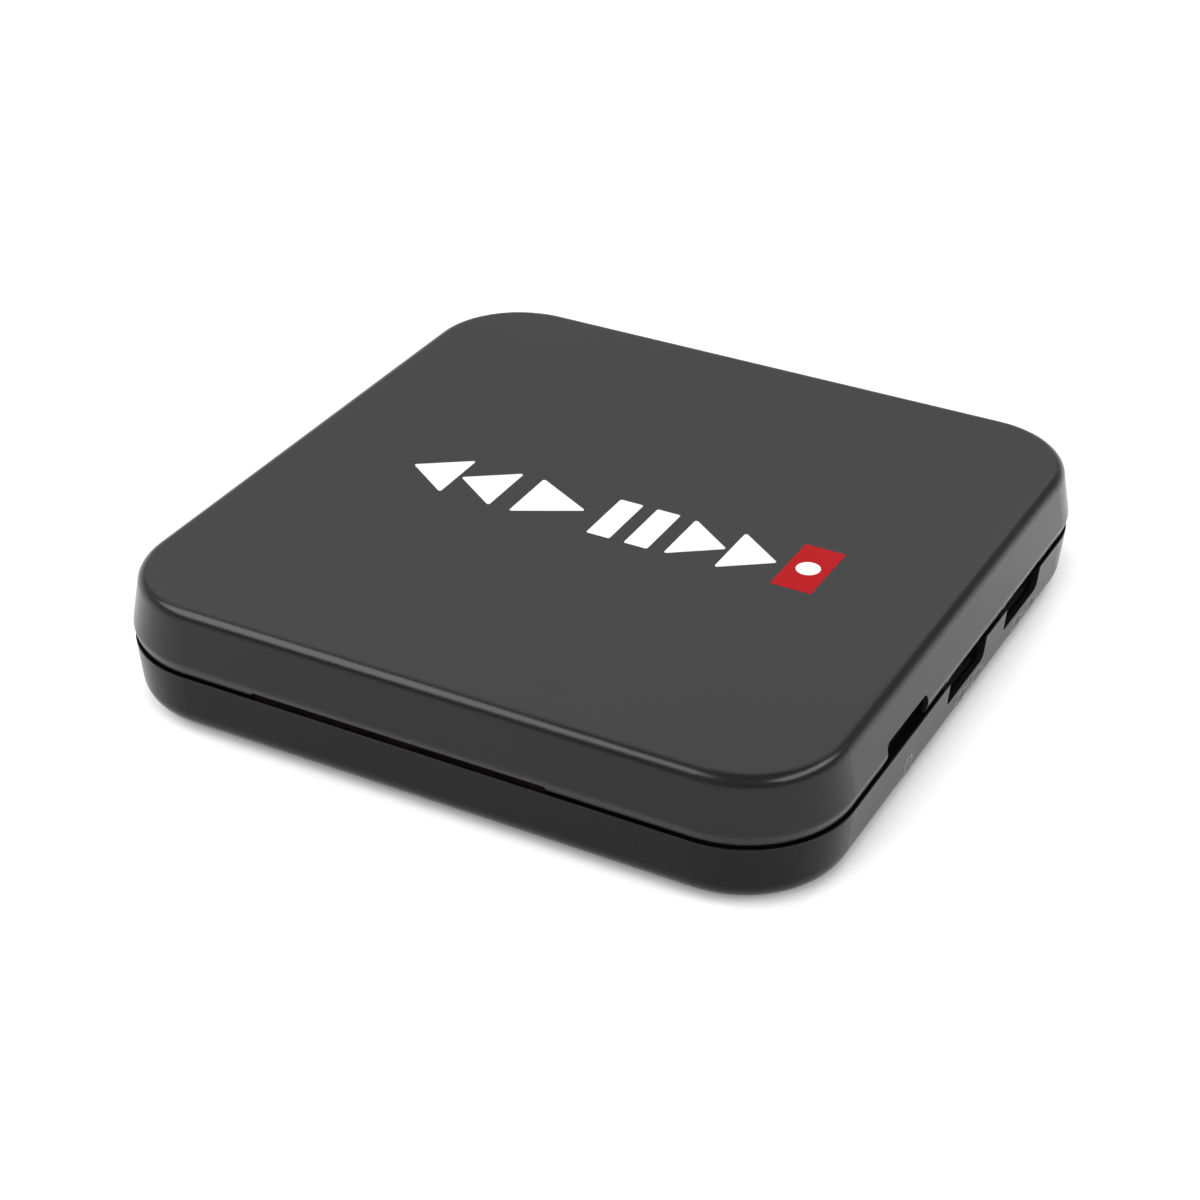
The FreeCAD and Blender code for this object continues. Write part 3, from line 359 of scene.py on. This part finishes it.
def slot_looks():
    """One look for each material slot in the record."""
    case = moulded_plastic("case_plastic", CASE_GREY, WORN_AND_SHEEN_GREY, CASE_ROUGHNESS)
    black = moulded_plastic("socket_plastic", (0.008, 0.008, 0.0085), (0.02, 0.02, 0.02), 0.45, 0.15 * MM)
    resin = moulded_plastic("chip_resin", (0.020, 0.020, 0.022), (0.06, 0.06, 0.06), 0.55, 0.12 * MM)
    button = moulded_plastic("button_plastic", (0.40, 0.38, 0.34), (0.55, 0.52, 0.48), 0.42, 0.15 * MM)
    silicone = moulded_plastic("pad_silicone", (0.22, 0.32, 0.42), (0.3, 0.4, 0.5), 0.7, 0.3 * MM)
    ferrite = moulded_plastic("ferrite", (0.07, 0.07, 0.075), (0.14, 0.14, 0.14), 0.6, 0.2 * MM)
    jacket = moulded_plastic("lead_jacket", (0.012, 0.012, 0.012), (0.03, 0.03, 0.03), 0.38, 0.2 * MM)
    plated = metal("plated_steel", (0.50, 0.49, 0.47), (0.30, 0.29, 0.28), 0.30, (1.0, 8.0, 8.0))
    aluminium = metal("sink_aluminium", (0.70, 0.70, 0.71), (0.50, 0.50, 0.51), 0.34, (8.0, 1.0, 8.0))
    return {
        "case_plastic": case,
        "window_plastic": smoked_window(),
        "foot_rubber": soft_rubber(),
        "label_film": label_film(),
        "screw_steel": metal("screw_steel", (0.10, 0.10, 0.105), (0.05, 0.05, 0.05), 0.34),
        "board_laminate": circuit_board(),
        "plated_steel": plated,
        "socket_plastic": black,
        "contact_gold": metal("contact_gold", (0.90, 0.62, 0.22), (0.62, 0.40, 0.14), 0.24),
        "spring_steel": metal("spring_steel", (0.60, 0.60, 0.61), (0.38, 0.38, 0.38), 0.22),
        "lamp_plastic": clear_lamp(),
        "chip_resin": resin,
        "pad_silicone": silicone,
        "sink_aluminium": aluminium,
        "ferrite": ferrite,
        "ceramic_brown": fired_ceramic(),
        "antenna_film": metal("antenna_film", (0.80, 0.45, 0.28), (0.45, 0.25, 0.15), 0.3),
        "lead_jacket": jacket,
        "button_plastic": button,
    }


def dress_cad_nodes():
    """Every CAD node takes its slot's look, except the tray, which is duller, and the USB shields, whose
    nickel is painted near black as painted shade for the inside of their openings.
    """
    by_slot = slot_looks()
    tray = moulded_plastic("tray_plastic", CASE_GREY, WORN_AND_SHEEN_GREY, CASE_ROUGHNESS, ior=TRAY_IOR)
    # painted shade: the USB shields' nickel is coloured near black, standing in for the shade deep inside
    # their openings
    shade_dark_nickel = metal("nickel_painted_shade", (0.075, 0.073, 0.070), (0.035, 0.034, 0.033), 0.42, (1.0, 8.0, 8.0))
    own_look = {"lower_shell": tray, "usb_front_shield": shade_dark_nickel, "usb_rear_shield": shade_dark_nickel}
    for entry in frame["record"]["subparts"]:
        name = entry["node"]
        look = own_look.get(name, by_slot[entry["material_slot"]])
        NODES[name].data.materials.clear()
        NODES[name].data.materials.append(look)


# ---- mesh helpers ---------------------------------------------------------------------------
def piece_from(name, mesh_data, material, body="case"):
    """A visible piece that rides on a body."""
    mesh = bpy.data.meshes.new(name)
    mesh_data.to_mesh(mesh)
    mesh_data.free()
    obj = bpy.data.objects.new(name, mesh)
    bpy.context.scene.collection.objects.link(obj)
    mesh.materials.append(material)
    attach(obj, body)
    return obj


def round_corners(points, radius, steps=6):
    """The polygon with an arc at every corner. Points are in millimetres and run anticlockwise."""
    out = []
    for i, here in enumerate(points):
        here, back, on = Vector(here), Vector(points[i - 1]), Vector(points[(i + 1) % len(points)])
        to_back, to_on = (back - here).normalized(), (on - here).normalized()
        half = to_back.angle(to_on) / 2
        reach = min(radius / math.tan(half), (back - here).length * 0.49, (on - here).length * 0.49)
        centre = here + (to_back + to_on).normalized() * (reach / math.cos(half))
        first, last = here + to_back * reach - centre, here + to_on * reach - centre
        sweep = (math.atan2(last.y, last.x) - math.atan2(first.y, first.x)) % (2 * math.pi)
        out += [tuple(centre + Matrix.Rotation(sweep * n / steps, 2) @ first) for n in range(steps + 1)]
    return out


def box_points(x0, y0, x1, y1):
    return [(x0, y0), (x1, y0), (x1, y1), (x0, y1)]


def arrow_points(x_back, x_tip, low, high):
    """A triangle with its tip to the left or to the right."""
    middle = (low + high) / 2
    if x_tip > x_back:
        return [(x_back, low), (x_tip, middle), (x_back, high)]
    return [(x_back, high), (x_tip, middle), (x_back, low)]


def circle_points(x, y, radius, count=40):
    angles = [2 * math.pi * n / count for n in range(count)]
    return [(x + radius * math.cos(a), y + radius * math.sin(a)) for a in angles]


def flat_prints(outlines, low, high):
    """Thin plates of ink with these outlines, between two heights, all in millimetres."""
    bm = bmesh.new()
    for outline in outlines:
        face = bm.faces.new([bm.verts.new((x * MM, y * MM, low * MM)) for x, y in outline])
        raised = bmesh.ops.extrude_face_region(bm, geom=[face])["geom"]
        bmesh.ops.translate(bm, verts=[g for g in raised if isinstance(g, bmesh.types.BMVert)],
                            vec=(0, 0, (high - low) * MM))
    bmesh.ops.recalc_face_normals(bm, faces=bm.faces)
    return bm


class Wall:
    """One side of a CAD node's surface, as a sheet that line drawings are laid on. A drawing's u runs
    to the right and its v up, as seen by someone who looks at that side."""

    OUTSIDE = 0.08      # metres from the middle, clear of the case on every side

    def __init__(self, node, facing):
        mesh = NODES[node].data
        corners = [v.co for v in mesh.vertices]
        self.tree = BVHTree.FromPolygons(corners, [p.vertices for p in mesh.polygons])
        self.facing = Vector(facing)
        self.along = Vector((0, 0, 1)).cross(self.facing)

    def place(self, u, v, lift):
        start = self.facing * self.OUTSIDE + self.along * (u * MM) + Vector((0, 0, v * MM))
        spot, normal, _, _ = self.tree.ray_cast(start, -self.facing)
        return spot + normal * (lift * MM)


def stroke(bm, wall, points, width, closed):
    """A raised line of print that follows the wall."""
    path = [Vector(p) for p in points] + ([Vector(points[0])] if closed else [])
    fine = [path[0]]
    for start, end in zip(path, path[1:]):
        count = max(1, round((end - start).length / LINE_STEP))
        fine += [start.lerp(end, n / count) for n in range(1, count + 1)]
    if closed:
        fine.pop()
    rings, last = [], len(fine) - 1
    for i, here in enumerate(fine):
        into = here - fine[i - 1] if i or closed else fine[i + 1] - here
        out = fine[(i + 1) % len(fine)] - here if i < last or closed else into
        way = into.normalized() + out.normalized()
        side = Vector((-way.y, way.x)).normalized()
        # the line keeps its width round a corner, but a very sharp corner isn't drawn out
        bend = max(0.5, abs(side.dot(Vector((-out.y, out.x)).normalized())))
        left, right = here + side * (width / 2 / bend), here - side * (width / 2 / bend)
        section = ((left, -LINE_SINK), (left, LINE_RISE), (right, LINE_RISE), (right, -LINE_SINK))
        rings.append([bm.verts.new(wall.place(*p, lift)) for p, lift in section])
    pairs = list(zip(rings, rings[1:])) + ([(rings[-1], rings[0])] if closed else [])
    for a, b in pairs:
        for n in range(4):
            bm.faces.new((a[n], a[(n + 1) % 4], b[(n + 1) % 4], b[n]))
    if not closed:
        bm.faces.new(rings[0][::-1])
        bm.faces.new(rings[-1])


def drawing(name, wall, strokes, material, width=LINE):
    """Strokes are (points, closed) in the wall's own u and v, in millimetres."""
    bm = bmesh.new()
    for points, closed in strokes:
        stroke(bm, wall, points, width, closed)
    bmesh.ops.recalc_face_normals(bm, faces=bm.faces)
    return piece_from(name, bm, material)


# ---- the ejector's return spring ------------------------------------------------------------
def return_spring():
    """Coil behind the card ejector, fixed to the case at the CAD spring's length. The real one closes up
    against the end of its track as a card goes in.
    """
    low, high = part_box("card_ejector_spring")
    middle = (low + high) / 2
    radius, length = (high.z - low.z) / 2 - WIRE, high.x - low.x - 2 * WIRE
    along = Vector((1, 0, 0))
    bm = bmesh.new()
    rings = []
    for n in range(TURNS * STEPS + 1):
        angle = 2 * math.pi * n / STEPS
        outward = Vector((0, math.cos(angle), math.sin(angle)))
        start = Vector((low.x + WIRE + length * n / (TURNS * STEPS), middle.y, middle.z))
        centre = start + radius * outward
        rings.append([bm.verts.new(centre + WIRE * (math.cos(a) * outward + math.sin(a) * along))
                      for a in (2 * math.pi * k / SIDES for k in range(SIDES))])
    for back, on in zip(rings, rings[1:]):
        for k in range(SIDES):
            following = (k + 1) % SIDES
            bm.faces.new((back[k], back[following], on[following], on[k])).smooth = True
    bm.faces.new(rings[0][::-1])
    bm.faces.new(rings[-1])
    bmesh.ops.recalc_face_normals(bm, faces=bm.faces)
    steel = NODES["card_ejector_spring"].data.materials[0]
    coil = piece_from("card_ejector_coil", bm, steel)
    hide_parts("card_ejector_spring")
    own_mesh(coil)


# ---- prints ---------------------------------------------------------------------------------
def print_lid():
    """A row of rewind, play, pause and forward symbols, and a tab with a dot."""
    shapes = [arrow_points(back, tip, MARK_LOW, MARK_HIGH) for back, tip in ARROWS]
    shapes += [box_points(left, MARK_LOW, right, MARK_HIGH) for left, right in BARS]
    outlines = [round_corners(points, MARK_ROUND) for points in shapes]
    white = printed_ink("ink_white", INK_WHITE, (0.5, 0.5, 0.5))
    red = printed_ink("ink_red", INK_RED, (0.15, 0.004, 0.006))
    piece_from("lid_symbols", flat_prints(outlines, LID - INK_ROOT, LID + INK), white)
    tab = [round_corners(box_points(*TAB), TAB_ROUND)]
    piece_from("lid_tab", flat_prints(tab, LID - INK_ROOT, LID + INK), red)
    x0, y0, x1, y1 = TAB
    dot = [circle_points((x0 + x1) / 2, (y0 + y1) / 2, TAB_DOT)]
    piece_from("lid_tab_dot", flat_prints(dot, LID + INK - DOT_ROOT, LID + 2 * INK), white)


def frame_boxes(x0, y0, x1, y1, line):
    """The four sides of a rectangle, drawn with a line of this width inside it."""
    return [box_points(x0, y0, x1, y0 + line), box_points(x0, y1 - line, x1, y1),
            box_points(x0, y0 + line, x0 + line, y1 - line),
            box_points(x1 - line, y0 + line, x1, y1 - line)]


def print_label():
    """Frame, rows and a double square on the rating label: a layout without any wording."""
    x0, y0, x1, y1 = LABEL
    boxes = frame_boxes(*LABEL, THIN_LINE)
    for n, length in enumerate(LABEL_ROWS):
        top, right = y1 - ROW_TOP - n * ROW_PITCH, x1 - ROW_INSET
        boxes.append(box_points(right - length, top - ROW_HEIGHT, right, top))
    x, y = x0 + SQUARE_INSET, (y0 + y1) / 2
    for half in DOUBLE_SQUARE:
        boxes += frame_boxes(x - half, y - half, x + half, y + half, THIN_LINE)
    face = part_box("rating_label")[0][2] / MM
    ink = printed_ink("ink_black", (0.02, 0.02, 0.02), (0.2, 0.2, 0.2))
    piece_from("label_print", flat_prints(boxes, face - INK, face + INK_ROOT), ink)


def bar(*points):
    """An open stroke."""
    return list(points), False


def loop(points):
    """A closed stroke."""
    return points, True


def plug_icon(u, v, size):
    """A plug: its body, its nose with a contact, and the start of its lead."""
    w, h = size * 0.5, size * 0.30
    return [loop(box_points(u - w, v - h, u + w * 0.2, v + h)),
            loop(box_points(u + w * 0.2, v - h * 0.6, u + w, v + h * 0.6)),
            bar((u - w, v), (u - w - size * 0.35, v)),
            bar((u + w * 0.55, v - h * 0.2), (u + w * 0.55, v + h * 0.2))]


def card_icon(u, v, size):
    """A memory card with one cut corner and two contacts."""
    w, h = size * 0.36, size * 0.5
    body = [(u - w, v - h), (u + w, v - h), (u + w, v + h * 0.45), (u + w * 0.45, v + h), (u - w, v + h)]
    contacts = [bar((u + w * k, v + h * 0.2), (u + w * k, v + h * 0.55)) for k in (-0.4, 0.1)]
    return [loop(body)] + contacts


def power_icon(u, v):
    """The two rings of a barrel plug, with a short line on either side."""
    return [loop(circle_points(u, v, 0.9, 20)), bar((u - 1.6, v), (u - 0.9, v)),
            bar((u + 0.9, v), (u + 1.6, v)), loop(circle_points(u, v, 0.3, 10))]


def screen_icon(u, v):
    """A screen on a foot."""
    return [loop(box_points(u - 2.0, v, u + 2.0, v + 2.4)), bar((u - 0.8, v - 0.7), (u + 0.8, v - 0.7)),
            bar((u, v - 0.7), (u, v))]


def light_icon(u, v):
    """A point with eight rays."""
    rays = [Vector((math.cos(n * math.pi / 4), math.sin(n * math.pi / 4))) for n in range(8)]
    middle = Vector((u, v))
    return [loop(circle_points(u, v, 0.45, 12))] + [bar(middle + 0.8 * r, middle + 1.3 * r) for r in rays]


def sound_icon(u, v):
    """A loudspeaker with two waves."""
    cone = [(u, v - 0.5), (u + 0.7, v - 0.5), (u + 1.6, v - 1.2),
            (u + 1.6, v + 1.2), (u + 0.7, v + 0.5), (u, v + 0.5)]
    return [loop(cone), bar((u + 2.2, v - 0.6), (u + 2.5, v), (u + 2.2, v + 0.6)),
            bar((u + 2.8, v - 1.0), (u + 3.2, v), (u + 2.8, v + 1.0))]


def network_icon(u, v):
    """Three boxes joined by lines."""
    return [loop(box_points(u - 0.6, v + 0.6, u + 0.6, v + 1.6)),
            loop(box_points(u - 1.8, v - 1.4, u - 0.8, v - 0.6)),
            loop(box_points(u + 0.8, v - 1.4, u + 1.8, v - 0.6)),
            bar((u - 1.3, v - 0.6), (u - 1.3, v), (u + 1.3, v), (u + 1.3, v - 0.6)),
            bar((u, v), (u, v + 0.6))]


def print_sockets():
    """A pictogram for every socket, on the tray's wall. The heights are millimetres above the floor."""
    grey = printed_ink("ink_grey", INK_GREY, (0.05, 0.05, 0.05))
    right = Wall("lower_shell", (1, 0, 0))
    for name, first, second in (("usb_front_icon", 1.2, 6.8), ("usb_rear_icon", 22.2, 27.8)):
        plugs = plug_icon(first, 3.9, 3.8) + plug_icon(second, 3.9, 3.8)
        drawing(name, right, plugs, grey, BOLD_LINE)
    drawing("card_icon", right, card_icon(-18.0, 4.2, 3.2), grey, BOLD_LINE)

    # u runs towards -X on the back, so the icon of a socket at x is at u = -x
    back = Wall("lower_shell", (0, 1, 0))
    drawing("power_icon", back, power_icon(-31.0, 4.2), grey)
    drawing("screen_icon", back, screen_icon(6.2, 6.6), grey)
    drawing("optical_icon", back, light_icon(20.8, 4.1), grey)
    drawing("sound_icon", back, sound_icon(30.6, 6.6), grey)
    drawing("network_icon", back, network_icon(-24.6, 5.0), grey, THIN_LINE)


# ---- stage, light and camera ----------------------------------------------------------------
def lay_floor():
    """White paper under the case and far round it."""
    mesh = bpy.data.meshes.new("floor")
    reach = 3.0
    mesh.from_pydata([(-reach, -reach, 0), (reach, -reach, 0), (reach, reach, 0), (-reach, reach, 0)], [],
                     [(0, 1, 2, 3)])
    floor = bpy.data.objects.new("floor", mesh)
    bpy.context.scene.collection.objects.link(floor)
    look = Looks("floor_paper")
    look.set(Base_Color=(0.86, 0.86, 0.86), Roughness=0.9, Specular_IOR_Level=0.1)
    mesh.materials.append(look.material)


def softbox(name, towards, distance, width, height, radiance):
    """Rectangular light in this direction from the case, facing it. Only gloss shows it."""
    data = bpy.data.lights.new(name, "AREA")
    data.shape = "RECTANGLE"
    data.size, data.size_y = width, height
    data.energy = radiance * math.pi * width * height
    obj = bpy.data.objects.new(name, data)
    bpy.context.scene.collection.objects.link(obj)
    place = Vector(towards).normalized() * distance
    obj.location = place
    obj.rotation_euler = (-place).to_track_quat("-Z", "Y").to_euler()
    obj.visible_diffuse = False


def wide_sun(name, towards, strength, spread):
    """Soft light from a wide patch of the room in this direction. Gloss doesn't show it."""
    data = bpy.data.lights.new(name, "SUN")
    data.energy, data.angle = strength, math.radians(spread)
    obj = bpy.data.objects.new(name, data)
    bpy.context.scene.collection.objects.link(obj)
    obj.location = Vector(towards).normalized()
    obj.rotation_euler = (-obj.location).to_track_quat("-Z", "Y").to_euler()
    obj.visible_glossy = False


def agreement(nodes, links, towards, way):
    """The product of a direction with this one: highest where both point the same way."""
    node = nodes.new("ShaderNodeVectorMath")
    node.operation = "DOT_PRODUCT"
    node.inputs[1].default_value = way
    links.new(towards, node.inputs[0])
    return node.outputs["Value"]


def room():
    """White surroundings: brighter to the back and the left, and brighter at the horizon."""
    world = bpy.data.worlds.new("studio")
    bpy.context.scene.world = world
    world.use_nodes = True
    nodes, links = world.node_tree.nodes, world.node_tree.links
    towards = nodes.new("ShaderNodeTexCoord").outputs["Generated"]
    split = nodes.new("ShaderNodeSeparateXYZ")
    links.new(towards, split.inputs["Vector"])

    sloped = agreement(nodes, links, towards, ROOM_SLOPE)
    room_light = map_range(nodes, links, sloped, ROOM_LOW - ROOM_LEVEL, 1.0, ROOM_LOW, 1.0 + ROOM_LEVEL)
    low_down = map_range(nodes, links, split.outputs["Z"], 0.0, HORIZON_TOP, HORIZON, 0.0)
    dark_way = agreement(nodes, links, towards, DARK_SIDE)
    share = map_range(nodes, links, dark_way, FADE_START, FADE_END, 1.0, 0.0)
    extra = nodes.new("ShaderNodeMath")
    extra.operation = "MULTIPLY"
    links.new(low_down, extra.inputs[0])
    links.new(share, extra.inputs[1])
    total = nodes.new("ShaderNodeMath")
    total.operation = "ADD"
    links.new(room_light, total.inputs[0])
    links.new(extra.outputs["Value"], total.inputs[1])
    links.new(total.outputs["Value"], nodes["Background"].inputs["Strength"])
    nodes["Background"].inputs["Color"].default_value = (1.0, 1.0, 1.0, 1.0)


def light_studio():
    room()
    wide_sun("overhead", OVERHEAD_FROM, OVERHEAD, OVERHEAD_SPREAD)
    for name, x, y in LOW_LIGHTS:
        wide_sun(name, (x, y, LOW_HEIGHT), LOW_LIGHT, LOW_SPREAD)
    for box in SOFTBOXES:
        softbox(*box)


def set_camera():
    data = bpy.data.cameras.new("camera")
    data.sensor_width = SENSOR
    data.lens = LENS
    camera = bpy.data.objects.new("camera", data)
    bpy.context.scene.collection.objects.link(camera)
    yaw, pitch, roll = (math.radians(a) for a in (AZIMUTH, ELEVATION, ROLL))
    ahead = Vector((-math.sin(yaw) * math.cos(pitch), math.cos(yaw) * math.cos(pitch), -math.sin(pitch)))
    level = Vector((math.cos(yaw), math.sin(yaw), 0))
    upright = level.cross(ahead)
    right = math.cos(roll) * level + math.sin(roll) * upright
    up = -math.sin(roll) * level + math.cos(roll) * upright
    aim = Vector((0, 0, AIM_HEIGHT)) + right * AIM_RIGHT + up * AIM_UP
    place = aim - ahead * CAMERA_DISTANCE
    camera.matrix_world = Matrix.Translation(place) @ Matrix((right, up, -ahead)).transposed().to_4x4()
    bpy.context.scene.camera = camera


dress_cad_nodes()
return_spring()
print_lid()
print_sockets()
print_label()
lay_floor()
light_studio()
set_camera()
bpy.context.scene.view_settings.view_transform = "Standard"
